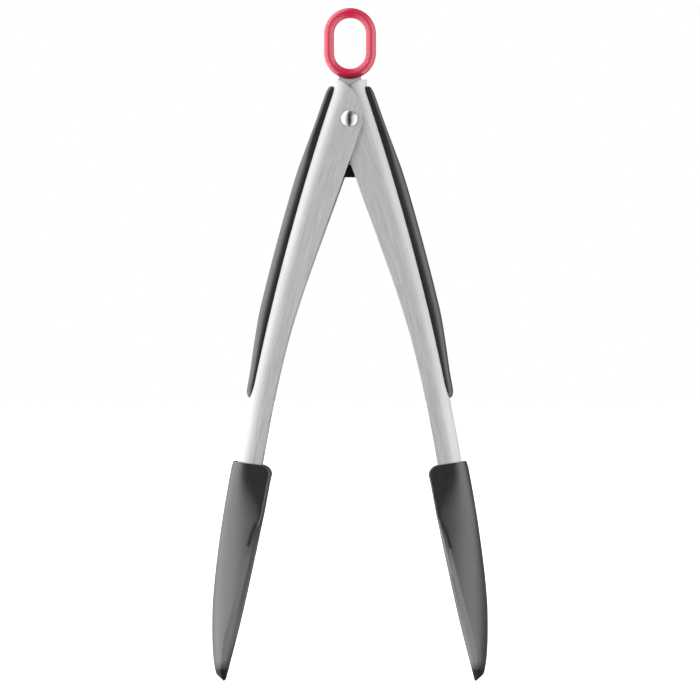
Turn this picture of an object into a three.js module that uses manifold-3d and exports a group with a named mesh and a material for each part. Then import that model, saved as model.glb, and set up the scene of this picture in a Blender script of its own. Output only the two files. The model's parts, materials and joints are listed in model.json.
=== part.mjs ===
// Spring loaded kitchen tongs: two stamped steel channel arms on one rivet, soft grips, silicone
// heads on nylon cores, and a pull ring that slides a lock block up between the arms.
//
// Millimetres, +Z up. The tongs hang from the ring: the origin is the top of the ring's hole, the
// rivet runs along Y, +X is to the right. Everything is drawn about the rivet's centre, with the
// jaws open against their stop, and one group lowers it to its place under the origin. "Drop" is a
// distance below the rivet. Arms are drawn as the right arm, and the left one is its mirror image.
import * as THREE from 'three';
import { mergeVertices } from 'three/addons/utils/BufferGeometryUtils.js';
import Module from 'manifold-3d';

const wasm = await Module();
wasm.setup();

// ---- Driving dimensions -------------------------------------------------------------------------

const closeAngle = THREE.MathUtils.degToRad(12.3); // each arm's swing from open to closed
const restGap = 0.3; // between pieces that rest on or sit in each other
const throughCut = 2; // how far a cutting shape stands out past what it cuts
const runGap = 0.2; // between pieces that turn or slide past each other

const sheet = 0.9; // steel of the arms
const innerArmWidth = 18; // right arm, between the ears of the left one
const bendRadius = 7; // outside of the bend between web and wall
const webOffset = 12.1; // web's outer face from the rivet
const webLean = 0.323; // its slope beside the rivet, X per drop
const bowRadius = 1017; // how gently the web bows back towards upright
const armTop = 17.8; // above the rivet
const armEnd = 170; // drop of the steel's end, inside the head
const earRadius = 17.85; // free edge of the ear, about a point on the web
const earHeight = 1; // that point's height above the rivet
const earLowAngle = THREE.MathUtils.degToRad(202.2); // where that arc runs into the lower free edge
const wallDepths = [[18.4, 18], [36, 16.9], [58.6, 14.9], [81.9, 12.7], [103, 11.4], [124.8, 11],
  [armEnd, 11]]; // drop, depth

const rivetRadius = 2.2;
const rivetHeadLip = 1.45; // head past the shank
const rivetHeadHeight = 1.7;
const sleeveWall = 0.7;
const washerRadius = 5;
const washerThickness = 0.4;

const wireRadius = 0.8;
const coilTurns = 2; // whole turns, before the half turn between the legs
const springFoot = 26; // drop where each leg bears on its web
const springStandoff = 1.7; // of each leg from the web, where its bend begins
const coilStandoff = 1.4; // of the coil from the lock strip

// Rows below hold a share of the piece's length and the size there.
const gripTop = -14.6;
const bareSteel = 28.2; // between the grip's end and the head
const gripInset = 3.4; // from the face of each wall of its arm to the grip's edge
const gripThickness = [[0, 1.8], [0.02, 2.5], [0.105, 2.8], [0.235, 3.85], [0.26, 4.1],
  [0.335, 4.25], [0.71, 4.2], [0.825, 3.3], [0.925, 2.3], [0.975, 2.1], [1, 0.9]];
const gripWrap = [[0, 1], [0.06, 1.2], [1, 1.2]]; // lip over the web's corners
const gripFullness = 2.8; // squareness of its crown
const gripNarrow = [[0, 0.9], [0.02, 1], [0.95, 1], [0.985, 0.9], [1, 0.72]]; // share of full width
const pegRadius = 1.6; // moulded pegs that hold the grip in the web's holes
const pegRoot = 1.4; // how far out each peg starts, inside the grip
const pegShares = [0.25, 0.58, 0.91];

const headLength = 98;
const sleeveOverlap = 17.5; // how far the boot reaches up over the steel
const bootSideWall = 1.9;
const bootBack = [[0, 2.1], [0.03, 2.5], [0.33, 2.9], [0.48, 2.85], [0.63, 2.5], [0.77, 1.4], [0.88, 0],
  [0.956, -1.7], [0.972, -2.35], [0.978, -3], [1, -5.6]]; // how far outside the web's line
const bootInnerWall = 4.5; // over the walls' free edges
const bootCorner = [[0, 3.6], [0.006, 2.2], [0.018, 0.8], [0.04, 0.1], [0.1, 0]]; // lost off its rounded edge
const bootRim = [[0.12, 1.2], [0.26, 0.3], [0.41, 0.1], [0.56, 0.1], [0.7, 0.2], [0.85, 0.6],
  [0.956, 1], [1, 1.1]]; // how far back from the closing plane
const bootSpread = [[0, 0], [0.12, 0.04], [0.3, 0.4], [0.5, 0.82], [0.68, 1], [0.8, 0.86], [0.9, 0.42],
  [0.96, -0.12], [1, -0.8]]; // share of the way from the sleeve's width to the widest
const bootHalfWidest = 18;
const jawBlend = [0.1, 0.3]; // shares between which the sleeve's inner side turns into the jaw's rim
const roundBlend = [0.1, 0.62]; // shares between which its back grows rounder
const backSquareness = [3, 2.1]; // before and after that
const rimSquareness = 7;
const dishDepth = 5.2; // hollow of the gripping face
const dishStart = [0.16, 0.55]; // shares over which it deepens
const dishEnd = [0.7, 1]; // shares over which it runs out
const topSlopeEnd = 0.12; // share where the slope of the sleeve's upper edge has died away
const bootTopSlope = 0.14; // the sleeve's upper edge, drop per X towards the other arm

const coreTipWall = 36.5; // silicone past the nylon core's tip
const coreThickness = 3;
const coreSink = 2; // how far its tip leaves the line of the web
const coreHalfTip = 7;
const coreStep = 14; // below the steel's end, where its tongue has thinned to the plate
const coreTaperStart = 10; // below the steel's end, where the plate starts to narrow
const tongueSetback = 3; // tongue's upper end below the boot's
const tongueInset = 1; // tongue inside the walls' free edges
const coreRivetRadius = 1.5;
const coreRivetSink = 0.1; // its end below the web's face
const coreRivetSetback = 7; // above the steel's end

const ringOuterRadius = 11.6;
const ringBand = 4.4;
const ringStraight = 8.4; // straight sides of the loop
const ringBottom = 18.1; // above the rivet
const ringThickness = 6;
const ringChamfer = 1.1;

const lockTravel = 6;
const stripThickness = 1.2;
const stripTailHalf = 3.2;
const stripEnd = 22; // drop
const stripInRing = 2.64; // its upper end inside the ring's band
const slotWall = 1.8; // steel below the slot
const blockBottom = 25.9; // drop
const blockBase = 2.5; // under the pockets between the post and the fingers
const postTop = 13;
const postHalf = 4.6;
const fingerHeight = 4.8;
const fingerInner = 7.7;
const fingerWall = 1;
const blockFront = -4;
const blockBack = 1.5;
const blockChamfer = 0.8; // lower corners
const pinSink = 0.3; // the pin's ends below the block's faces
const blockPinRadius = 1;
const blockPinDrop = 19;
const catchSheet = 1.1;
const catchFront = -6.4;
const catchBack = -1;
const catchFootTop = 2; // drop of the foot's upper end
const catchHeadroom = 0.6; // over the fingers, with the arms closed and the ring pulled
const catchStandoff = 1.6; // over the fingers, with the ring pushed in

// ---- Sizes that follow from them ----------------------------------------------------------------

const earSpace = washerThickness + 2 * runGap; // between an inner and an outer ear
const outerArmWidth = innerArmWidth + 2 * (earSpace + sheet);
const rivetSeat = outerArmWidth / 2 + runGap;
const rivetHeadRadius = rivetRadius + rivetHeadLip;
const pinBore = rivetRadius + runGap;
const sleeveRadius = pinBore + sleeveWall;
const coilRadius = sleeveRadius + wireRadius + restGap; // to the middle of the wire
const headTop = armEnd - sleeveOverlap; // drop of the boot's upper edge
const gripEnd = headTop - bareSteel;
const coreEnd = headTop + headLength - coreTipWall;
const coreRivetDrop = armEnd - coreRivetSetback;
const blockFloor = blockBottom - blockBase;
const fingerTop = blockFloor - fingerHeight;
const catchLegTop = fingerTop - lockTravel - catchHeadroom - catchSheet; // drop, with the arms closed
const catchLipEnd = fingerTop - catchStandoff; // drop, with the arms closed
const sleeveHalf = innerArmWidth / 2 - sheet - runGap;
const hangHeight = ringBottom + ringOuterRadius * 2 + ringStraight - ringBand; // ring hole's top

// ---- Outlines as functions of drop --------------------------------------------------------------

// A smooth curve through rows of [position, value], which never swings past the rows beside it.
function through(rows) {
  const slopes = rows.slice(1).map((row, i) => (row[1] - rows[i][1]) / (row[0] - rows[i][0]));
  const tangents = rows.map((_, i) => {
    const before = slopes[i - 1] ?? slopes[i];
    const after = slopes[i] ?? before;
    return before * after > 0 ? 2 * before * after / (before + after) : 0;
  });
  return position => {
    const next = rows.findIndex(row => row[0] > position);
    const i = next < 0 ? rows.length - 2 : Math.max(next - 1, 0);
    const span = rows[i + 1][0] - rows[i][0];
    const t = THREE.MathUtils.clamp((position - rows[i][0]) / span, 0, 1);
    const ease = t * t * (3 - 2 * t);
    const leave = tangents[i] * span * t * (1 - t) * (1 - t);
    const arrive = tangents[i + 1] * span * t * t * (1 - t);
    return rows[i][1] + (rows[i + 1][1] - rows[i][1]) * ease + leave - arrive;
  };
}

const webAt = drop => webOffset + webLean * drop - drop * drop / (2 * bowRadius);
const webSlopeAt = drop => Math.atan(webLean - drop / bowRadius);
const wallDepthAt = through(wallDepths);
const pegDrops = pegShares.map(share => gripTop + (gripEnd - gripTop) * share);
const webInnerAtTop = webAt(-armTop) - sheet / Math.cos(webSlopeAt(-armTop));
const stripHalfWidth = webInnerAtTop - restGap; // its edges stop the open arms
const closingPlaneAt = drop => drop * Math.tan(closeAngle);

// ---- Solids -------------------------------------------------------------------------------------

function solid(geometry) {
  const bare = geometry.index ? geometry.toNonIndexed() : geometry.clone();
  bare.deleteAttribute('normal');
  bare.deleteAttribute('uv');
  const merged = mergeVertices(bare, 1e-4);
  return new wasm.Manifold(new wasm.Mesh({
    numProp: 3,
    vertProperties: new Float32Array(merged.attributes.position.array),
    triVerts: new Uint32Array(merged.index.array),
  }));
}

function geometryOf(body) {
  const mesh = body.getMesh();
  const geometry = new THREE.BufferGeometry();
  geometry.setAttribute('position', new THREE.BufferAttribute(mesh.vertProperties, 3));
  geometry.setIndex(new THREE.BufferAttribute(mesh.triVerts, 1));
  geometry.computeVertexNormals();
  return geometry;
}

// A closed outline of X and Z points or a Shape, as thick as the stretch of Y it is given.
function acrossY(shape, front, back, curveSegments = 12) {
  const settings = { depth: back - front, bevelEnabled: false, curveSegments };
  const geometry = new THREE.ExtrudeGeometry(shape, settings);
  return solid(geometry.rotateX(Math.PI / 2).translate(0, back, 0));
}

function box(left, right, front, back, low, high) {
  const geometry = new THREE.BoxGeometry(right - left, back - front, high - low);
  return solid(geometry.translate((left + right) / 2, (front + back) / 2, (low + high) / 2));
}

// A round bar along Y at the given X and drop.
function barAlongY(radius, front, back, x = 0, drop = 0, sides = 24) {
  const geometry = new THREE.CylinderGeometry(radius, radius, back - front, sides);
  return solid(geometry.translate(0, (front + back) / 2, 0).translate(x, 0, -drop));
}

// A round bar square to the web at a drop, between two distances inwards from the web's outer face.
function barThroughWeb(radius, from, to, drop, sides = 20) {
  const geometry = new THREE.CylinderGeometry(radius, radius, to - from, sides);
  geometry.rotateZ(Math.PI / 2).translate(-(from + to) / 2, 0, 0);
  geometry.rotateY(-webSlopeAt(drop)).translate(webAt(drop), 0, -drop);
  return solid(geometry);
}

// Extrudes a section through the given drops. place turns a section point into X and Y at a drop,
// and may add to the drop itself.
function loft(section, drops, place, curveSegments = 2) {
  const steps = drops.length - 1;
  const settings = { depth: 1, steps, bevelEnabled: false, curveSegments };
  const geometry = new THREE.ExtrudeGeometry(section, settings);
  const position = geometry.attributes.position;
  for (let i = 0; i < position.count; i += 1) {
    const drop = drops[steps - Math.round(position.getZ(i) * steps)];
    const put = place(position.getX(i), position.getY(i), drop);
    position.setXYZ(i, put.x, put.y, -(put.drop ?? drop));
  }
  return solid(geometry);
}

function spread(from, to, steps) {
  return Array.from({ length: steps + 1 }, (_, i) => from + (to - from) * i / steps);
}

function mirrored(body) {
  return body.mirror([1, 0, 0]);
}

// ---- Arms ---------------------------------------------------------------------------------------

const channelReach = 24; // deeper than any wall, before the free edge is cut

// Outline of the space that a channel of this width fills, in inward distance and Y.
function channelSection(width, grow = 0) {
  const half = width / 2 + grow;
  const radius = bendRadius + grow;
  const shape = new THREE.Shape();
  shape.moveTo(channelReach, -half);
  shape.lineTo(channelReach, half);
  shape.lineTo(radius - grow, half);
  shape.absarc(radius - grow, half - radius, radius, Math.PI / 2, Math.PI, false);
  shape.absarc(radius - grow, -half + radius, radius, Math.PI, Math.PI * 1.5, false);
  shape.closePath();
  return shape;
}

const insideWeb = (inward, y, drop) => ({ x: webAt(drop) - inward, y: -y });

// The stamped channel's side: ear arc about the web beside the rivet, then the lower free edge.
function armSide() {
  const past = webAt(armEnd) + channelReach;
  const topAngle = Math.PI - Math.asin((armTop - earHeight) / earRadius);
  const side = new THREE.Shape();
  side.moveTo(past, -armEnd);
  side.lineTo(past, armTop);
  side.lineTo(webOffset + earRadius * Math.cos(topAngle), armTop);
  side.absarc(webOffset, earHeight, earRadius, topAngle, earLowAngle, false);
  for (const drop of spread(wallDepths[0][0], armEnd, 14)) {
    side.lineTo(webAt(drop) - wallDepthAt(drop), -drop);
  }
  side.closePath();
  return side;
}

function arm(width) {
  const drops = spread(-armTop - throughCut, armEnd + throughCut, 16);
  const outside = loft(channelSection(width), drops, insideWeb);
  const hollow = loft(channelSection(width, -sheet), drops, insideWeb);
  let channel = outside.subtract(hollow).intersect(acrossY(armSide(), -width, width, 7));
  channel = channel.subtract(barAlongY(pinBore, -width, width));
  for (const drop of pegDrops) {
    channel = channel.subtract(barThroughWeb(pegRadius + restGap, -throughCut, bendRadius, drop, 16));
  }
  const rivetHole = coreRivetRadius + restGap;
  return channel.subtract(barThroughWeb(rivetHole, -throughCut, bendRadius, coreRivetDrop, 16));
}

// ---- Grips --------------------------------------------------------------------------------------

const gripShareAt = drop => (drop - gripTop) / (gripEnd - gripTop);
const gripThicknessAt = through(gripThickness);
const gripWrapAt = through(gripWrap);
const gripNarrowAt = through(gripNarrow);

// Soft grip: crowned outside, hollowed to sit on the web and over its corners, with pegs inside.
function grip(width) {
  const half = width / 2 - gripInset;
  const crown = new THREE.Shape();
  crown.absarc(0, 0, 1, 0, Math.PI, false);
  const drops = [gripTop, gripTop + 1, ...spread(gripTop + 4, gripEnd - 5, 12), gripEnd - 1.6, gripEnd];
  const body = loft(crown, drops, (across, out, drop) => {
    const share = gripShareAt(drop);
    const wrap = gripWrapAt(share);
    const rise = Math.pow(Math.max(out, 0), 2 / gripFullness) * (gripThicknessAt(share) + wrap);
    const side = Math.sign(across) * Math.pow(Math.abs(across), 2 / gripFullness);
    return { x: webAt(drop) - wrap + rise, y: -side * half * gripNarrowAt(share) };
  }, 8);
  const seatDrops = spread(gripTop - throughCut, gripEnd + throughCut, 16);
  const seat = loft(channelSection(width, restGap), seatDrops, insideWeb);
  let cover = body.subtract(seat);
  for (const drop of pegDrops) {
    cover = cover.add(barThroughWeb(pegRadius, -pegRoot, sheet + restGap, drop, 16));
  }
  return cover;
}

// ---- Heads --------------------------------------------------------------------------------------

const backAt = through(bootBack);
const cornerAt = through(bootCorner);
const rimAt = through(bootRim);
const spreadAt = through(bootSpread);
const shareAt = drop => (drop - headTop) / headLength;

// Half section of the core below the steel: a plate that follows the boot's back.
function coreAt(drop, grow) {
  const down = THREE.MathUtils.smoothstep(drop, armEnd, armEnd + coreStep);
  const taper = THREE.MathUtils.smoothstep(drop, armEnd + coreTaperStart, coreEnd);
  const thickness = THREE.MathUtils.lerp(wallDepthAt(armEnd) - tongueInset, coreThickness, down);
  const back = webAt(drop) - sheet - restGap - taper * coreSink;
  return { outer: back + grow, inner: back - thickness - grow, taper };
}

function corePlate(width, grow) {
  const square = new THREE.Shape();
  square.moveTo(0, -1);
  square.lineTo(1, -1);
  square.lineTo(1, 1);
  square.lineTo(0, 1);
  square.closePath();
  const drops = [armEnd + restGap - grow, ...spread(armEnd + 4, coreEnd - 3, 9), coreEnd + grow];
  return loft(square, drops, (out, across, drop) => {
    const at = coreAt(drop, grow);
    const half = THREE.MathUtils.lerp(width / 2 - sheet, coreHalfTip, at.taper) + grow;
    return { x: THREE.MathUtils.lerp(at.inner, at.outer, out), y: across * half };
  });
}

// Nylon core: a tongue riveted inside the steel's end, and the plate that stiffens the boot.
function core(width) {
  const half = width / 2 - sheet - restGap;
  const inset = sheet + restGap;
  const corner = bendRadius - inset;
  const tongueTop = headTop + tongueSetback;
  const depth = wallDepthAt(armEnd) - tongueInset;
  const section = new THREE.Shape();
  section.moveTo(depth, -half);
  section.lineTo(depth, half);
  section.lineTo(bendRadius, half);
  section.absarc(bendRadius, half - corner, corner, Math.PI / 2, Math.PI, false);
  section.absarc(bendRadius, -half + corner, corner, Math.PI, Math.PI * 1.5, false);
  section.closePath();
  const tongue = loft(section, [tongueTop, ...spread(tongueTop + 3, armEnd + 1, 3)], insideWeb);
  const rivetHole = barThroughWeb(coreRivetRadius + restGap, -throughCut, 2 * depth, coreRivetDrop, 16);
  return tongue.add(corePlate(width, 0)).subtract(rivetHole);
}

function coreRivet() {
  return barThroughWeb(coreRivetRadius, coreRivetSink, sheet + bendRadius, coreRivetDrop, 16);
}

// Silicone boot: a sleeve over the steel's end that swells into a dished, leaf shaped jaw.
function boot(width) {
  const sleeveHalfWidth = width / 2 + restGap + bootSideWall;
  const circle = new THREE.Shape();
  circle.absarc(0, 0, 1, 0, Math.PI * 2, false);
  const shares = [0, 0.008, 0.022, 0.045, ...spread(0.075, 0.85, 11), 0.9, 0.94, 0.972, 0.978, 1];
  const drops = shares.map(share => headTop + headLength * share);
  const envelope = loft(circle, drops, (out, across, drop) => {
    const share = shareAt(drop);
    const outer = webAt(drop) + backAt(share);
    const overWalls = webAt(drop) - wallDepthAt(drop) - bootInnerWall + cornerAt(share);
    const jaw = THREE.MathUtils.smoothstep(share, ...jawBlend);
    const inner = THREE.MathUtils.lerp(overWalls, closingPlaneAt(drop) + rimAt(share), jaw);
    const half = sleeveHalfWidth + (bootHalfWidest - sleeveHalfWidth) * spreadAt(share);
    const round = THREE.MathUtils.smoothstep(share, ...roundBlend);
    const squareness = out > 0 ? THREE.MathUtils.lerp(...backSquareness, round) : rimSquareness;
    const width01 = Math.pow(Math.abs(across), 2 / squareness);
    const out01 = Math.sign(out) * Math.pow(Math.abs(out), 2 / squareness);
    const deepening = THREE.MathUtils.smoothstep(share, ...dishStart);
    const dish = deepening * (1 - THREE.MathUtils.smoothstep(share, ...dishEnd));
    const hollow = out < 0 ? dishDepth * dish * (1 - width01 * width01) * -out01 : 0;
    const x = (outer + inner) / 2 + out01 * (outer - inner) / 2 + hollow;
    const topLean = bootTopSlope * (outer - x) * (1 - THREE.MathUtils.smoothstep(share, 0, topSlopeEnd));
    return { x, y: Math.sign(across) * half * width01, drop: drop + topLean };
  }, 18);
  const sleeveDrops = spread(headTop - throughCut, armEnd + restGap, 4);
  const sleeve = loft(channelSection(width, restGap), sleeveDrops, insideWeb);
  const openSide = drop => webAt(drop) - wallDepthAt(drop) - restGap;
  const above = headTop - throughCut;
  const below = armEnd + throughCut;
  const behind = new THREE.Shape();
  behind.moveTo(openSide(above), -above);
  behind.lineTo(webAt(armEnd) + bootInnerWall, -above);
  behind.lineTo(webAt(armEnd) + bootInnerWall, -below);
  behind.lineTo(openSide(armEnd), -below);
  behind.closePath();
  const socket = sleeve.intersect(acrossY(behind, -width, width));
  return envelope.subtract(socket).subtract(corePlate(width, restGap));
}

// ---- Pivot --------------------------------------------------------------------------------------

// Half profile of a dome that stands on a flat, turned about the rivet's axis.
function dome(points) {
  return solid(new THREE.LatheGeometry(points, 24));
}

function rivetHeadProfile(reach) {
  const profile = [];
  for (const part of spread(0, 1, 4)) {
    const angle = part * Math.PI / 2;
    const out = rivetHeadRadius * Math.sin(angle);
    profile.push(new THREE.Vector2(out, -reach - rivetHeadHeight * Math.cos(angle)));
  }
  return profile;
}

// Rivet with its domed head in front; the shank runs back into the cap.
function pivotRivet() {
  const shankEnd = rivetSeat + rivetHeadHeight / 2;
  const profile = rivetHeadProfile(rivetSeat);
  profile.push(new THREE.Vector2(rivetRadius, -rivetSeat));
  profile.push(new THREE.Vector2(rivetRadius, shankEnd));
  profile.push(new THREE.Vector2(0, shankEnd));
  return dome(profile);
}

function rivetCap() {
  const closed = rivetHeadProfile(rivetSeat);
  closed.push(new THREE.Vector2(0, -rivetSeat));
  const bore = barAlongY(pinBore, -rivetSeat - rivetHeadHeight / 2 - restGap, -rivetSeat + 1);
  return dome(closed).subtract(bore).mirror([0, 1, 0]);
}

function ringAlongY(outer, inner, front, back) {
  return barAlongY(outer, front, back).subtract(barAlongY(inner, front - throughCut, back + throughCut));
}

// One wire: right leg, coil behind the strip, left leg. Each leg is tangent to the coil.
function torsionSpring() {
  const firstY = stripThickness / 2 + wireRadius + coilStandoff;
  const lastY = sleeveHalf - wireRadius;
  const footX = webAt(springFoot) - sheet - wireRadius - springStandoff;
  const reach = Math.hypot(footX, springFoot);
  const lean = Math.atan2(-springFoot, footX) + Math.acos(coilRadius / reach);
  const turn = coilTurns * Math.PI * 2 + Math.PI - 2 * lean;
  const steps = coilTurns * 14 + 7;
  const legSteps = 3;
  const start = new THREE.Vector3(coilRadius * Math.cos(lean), firstY, coilRadius * Math.sin(lean));
  const end = new THREE.Vector3(-start.x, lastY, start.z);
  const rightFoot = new THREE.Vector3(footX, firstY, -springFoot);
  const leftFoot = new THREE.Vector3(-footX, lastY, -springFoot);
  const points = [];
  for (const part of spread(0, 1, legSteps).slice(0, -1)) {
    points.push(rightFoot.clone().lerp(start, part));
  }
  for (const part of spread(0, 1, steps)) {
    const angle = lean + turn * part;
    const y = THREE.MathUtils.lerp(firstY, lastY, part);
    points.push(new THREE.Vector3(coilRadius * Math.cos(angle), y, coilRadius * Math.sin(angle)));
  }
  for (const part of spread(0, 1, legSteps).slice(1)) {
    points.push(end.clone().lerp(leftFoot, part));
  }
  const wire = new THREE.Shape();
  wire.absarc(0, 0, wireRadius, 0, Math.PI * 2, false);
  const path = new THREE.CatmullRomCurve3(points, false, 'centripetal');
  return solid(new THREE.ExtrudeGeometry(wire, { extrudePath: path, steps: 78, curveSegments: 3 }));
}

// ---- Lock ---------------------------------------------------------------------------------------

function slotShape(halfWidth, high, low) {
  const slot = new THREE.Shape();
  slot.absarc(0, high, halfWidth, 0, Math.PI, false);
  slot.absarc(0, low, halfWidth, Math.PI, Math.PI * 2, false);
  slot.closePath();
  return slot;
}

// Steel strip, slotted round the spacer sleeve, from the ring down into the lock block.
function stripBody(grow) {
  const top = ringBottom + stripInRing + grow;
  const shoulder = -(lockTravel + sleeveRadius + runGap + slotWall);
  const outline = new THREE.Shape();
  outline.moveTo(-stripTailHalf - grow, -stripEnd - grow);
  outline.lineTo(stripTailHalf + grow, -stripEnd - grow);
  outline.lineTo(stripTailHalf + grow, shoulder);
  outline.lineTo(stripHalfWidth + grow, shoulder + slotWall);
  outline.lineTo(stripHalfWidth + grow, top);
  outline.lineTo(-stripHalfWidth - grow, top);
  outline.lineTo(-stripHalfWidth - grow, shoulder + slotWall);
  outline.lineTo(-stripTailHalf - grow, shoulder);
  outline.closePath();
  return acrossY(outline, -stripThickness / 2 - grow, stripThickness / 2 + grow);
}

function lockStrip() {
  const slot = acrossY(slotShape(sleeveRadius + runGap, 0, -lockTravel), -throughCut, throughCut, 10);
  const pinHole = barAlongY(blockPinRadius + restGap, -throughCut, throughCut, 0, blockPinDrop, 16);
  return stripBody(0).subtract(slot).subtract(pinHole);
}

// Nylon block: a post on the strip's tail and two upright fingers that hook behind the catches.
function lockBlock() {
  const outer = fingerInner + fingerWall;
  const outline = new THREE.Shape();
  outline.moveTo(-outer + blockChamfer, -blockBottom);
  outline.lineTo(outer - blockChamfer, -blockBottom);
  outline.lineTo(outer, -blockBottom + blockChamfer);
  outline.lineTo(outer, -fingerTop);
  outline.lineTo(fingerInner, -fingerTop);
  outline.lineTo(fingerInner, -blockFloor);
  outline.lineTo(postHalf, -blockFloor);
  outline.lineTo(postHalf, -postTop);
  outline.lineTo(-postHalf, -postTop);
  outline.lineTo(-postHalf, -blockFloor);
  outline.lineTo(-fingerInner, -blockFloor);
  outline.lineTo(-fingerInner, -fingerTop);
  outline.lineTo(-outer, -fingerTop);
  outline.lineTo(-outer, -blockBottom + blockChamfer);
  outline.closePath();
  const past = [blockFront - throughCut, blockBack + throughCut];
  const pinHole = barAlongY(blockPinRadius + restGap, ...past, 0, blockPinDrop, 16);
  return acrossY(outline, blockFront, blockBack).subtract(stripBody(restGap)).subtract(pinHole);
}

function blockPin() {
  return barAlongY(blockPinRadius, blockFront + pinSink, blockBack - pinSink, 0, blockPinDrop, 16);
}

// Catch: a bracket welded inside the web, whose lip hangs behind the block's finger once the arms
// are closed and the ring is pulled. Its leg and lip are drawn with the arms closed and swung open.
function lockCatch(width) {
  const lip = fingerInner - restGap;
  const drops = spread(catchFootTop - 2 * throughCut, catchLipEnd, 4);
  const insideChannel = inset => loft(channelSection(width, -sheet - restGap - inset), drops, insideWeb);
  const legLean = 2 * fingerInner * Math.sin(closeAngle); // how far the leg's end rises as it opens
  const footEnd = catchLegTop + catchSheet - legLean;
  const footStrip = box(0, channelReach, catchFront, catchBack, -footEnd, -catchFootTop);
  const foot = insideChannel(0).subtract(insideChannel(catchSheet)).intersect(footStrip);
  const outline = new THREE.Shape();
  outline.moveTo(lip - catchSheet, -catchLipEnd);
  outline.lineTo(lip, -catchLipEnd);
  outline.lineTo(lip, -catchLegTop - catchSheet);
  outline.lineTo(channelReach, -catchLegTop - catchSheet);
  outline.lineTo(channelReach, -catchLegTop);
  outline.lineTo(lip - catchSheet, -catchLegTop);
  outline.closePath();
  const hook = acrossY(outline, catchFront, catchBack);
  const open = hook.rotate([0, -THREE.MathUtils.radToDeg(closeAngle), 0]);
  return foot.add(open.intersect(insideChannel(0)));
}

// ---- Ring ---------------------------------------------------------------------------------------

function pullRing() {
  const low = ringBottom + ringOuterRadius;
  const loop = slotShape(ringOuterRadius - ringChamfer, low + ringStraight, low);
  loop.holes.push(slotShape(ringOuterRadius - ringBand + ringChamfer, low + ringStraight, low));
  const geometry = new THREE.ExtrudeGeometry(loop, {
    depth: ringThickness - 2 * ringChamfer,
    bevelThickness: ringChamfer,
    bevelSize: ringChamfer,
    bevelSegments: 2,
    curveSegments: 9,
  });
  geometry.rotateX(Math.PI / 2).translate(0, ringThickness / 2 - ringChamfer, 0);
  return solid(geometry).subtract(stripBody(restGap));
}

// ---- Materials and assembly ---------------------------------------------------------------------

const finishes = {
  steel: { color: 0xb9bbbd, roughness: 0.34, metalness: 1 },
  polished: { color: 0xd8dadc, roughness: 0.12, metalness: 1 },
  softBlack: { color: 0x17181a, roughness: 0.62, metalness: 0 },
  silicone: { color: 0x3c3d3f, roughness: 0.7, metalness: 0 },
  nylon: { color: 0x1b1b1c, roughness: 0.5, metalness: 0 },
  spring: { color: 0x8d8f92, roughness: 0.3, metalness: 1 },
  red: { color: 0xc41535, roughness: 0.25, metalness: 0 },
};

const tongs = new THREE.Group();
const about = new THREE.Group();
about.position.z = -hangHeight;
tongs.add(about);

function put(name, body, finish) {
  const mesh = new THREE.Mesh(geometryOf(body), new THREE.MeshStandardMaterial(finishes[finish]));
  mesh.name = name;
  about.add(mesh);
}

const sides = [['right', innerArmWidth, body => body], ['left', outerArmWidth, mirrored]];
for (const [side, width, turned] of sides) {
  put(`${side}_arm_channel`, turned(arm(width)), 'steel');
  put(`${side}_grip`, turned(grip(width)), 'softBlack');
  put(`${side}_boot`, turned(boot(width)), 'silicone');
  put(`${side}_head_core`, turned(core(width)), 'nylon');
  put(`${side}_core_rivet`, turned(coreRivet()), 'steel');
  put(`${side}_lock_catch`, turned(lockCatch(width)), 'steel');
}

const washerMiddle = innerArmWidth / 2 + earSpace / 2;
put('pivot_rivet', pivotRivet(), 'polished');
put('rivet_cap', rivetCap(), 'polished');
put('spacer_sleeve', ringAlongY(sleeveRadius, pinBore, -sleeveHalf, sleeveHalf), 'steel');
for (const [name, y] of [['front_washer', -washerMiddle], ['back_washer', washerMiddle]]) {
  put(name, ringAlongY(washerRadius, pinBore, y - washerThickness / 2, y + washerThickness / 2), 'nylon');
}
put('torsion_spring', torsionSpring(), 'spring');

put('pull_ring', pullRing(), 'red');
put('lock_strip', lockStrip(), 'steel');
put('lock_block', lockBlock(), 'nylon');
put('block_pin', blockPin(), 'steel');

export default tongs;
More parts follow.
